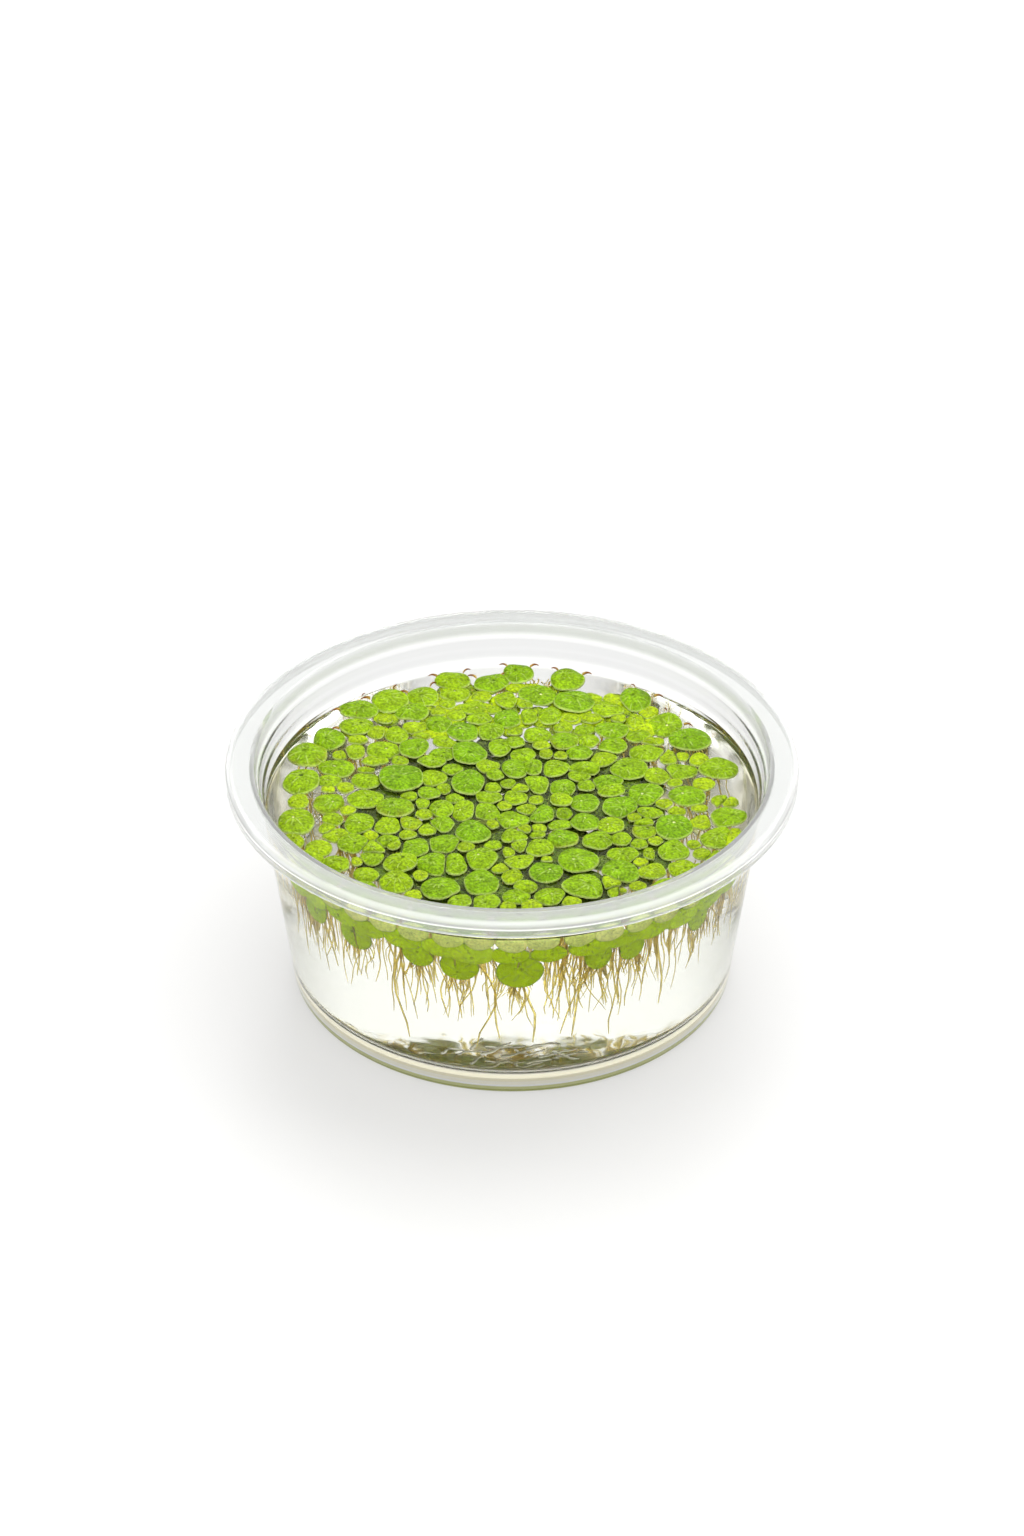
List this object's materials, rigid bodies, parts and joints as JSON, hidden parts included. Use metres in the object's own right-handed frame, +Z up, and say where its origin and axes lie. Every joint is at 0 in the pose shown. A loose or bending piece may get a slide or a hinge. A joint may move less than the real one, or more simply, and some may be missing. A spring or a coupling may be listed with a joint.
{
  "type": "duckweed in a tub of water",
  "caption": "Mat of greater duckweed floating on water in a small clear round plastic tub, with the roots hanging down in the water.",
  "frame": {"origin": "on the ground at the middle of the tub's foot", "axes": "+Z up, -Y towards the front of the picture, +X to its right"},
  "size_m": [0.075, 0.075, 0.0326],
  "materials": {
    "plastic": "clear gloss",
    "water": "clear",
    "frond": "satin"
  },
  "bodies": {
    "root": {"tub": "plastic", "water": "water", "plant_01": "frond", "plant_02": "frond", "plant_03": "frond", "plant_04": "frond", "plant_05": "frond", "plant_06": "frond", "plant_07": "frond", "plant_08": "frond", "plant_09": "frond", "plant_10": "frond", "plant_11": "frond", "plant_12": "frond", "plant_13": "frond", "plant_14": "frond", "plant_15": "frond", "plant_16": "frond", "plant_17": "frond", "plant_18": "frond", "plant_19": "frond", "plant_20": "frond", "plant_21": "frond", "plant_22": "frond", "plant_23": "frond", "plant_24": "frond", "plant_25": "frond", "plant_26": "frond", "plant_27": "frond", "plant_28": "frond", "plant_29": "frond", "plant_30": "frond", "plant_31": "frond", "plant_32": "frond", "plant_33": "frond", "plant_34": "frond", "plant_35": "frond", "plant_36": "frond", "plant_37": "frond", "plant_38": "frond", "plant_39": "frond", "plant_40": "frond", "plant_41": "frond", "plant_42": "frond", "plant_43": "frond", "plant_44": "frond", "plant_45": "frond", "plant_46": "frond", "plant_47": "frond", "plant_48": "frond", "plant_49": "frond", "plant_50": "frond", "plant_51": "frond", "plant_52": "frond"}
  },
  "joints": []
}
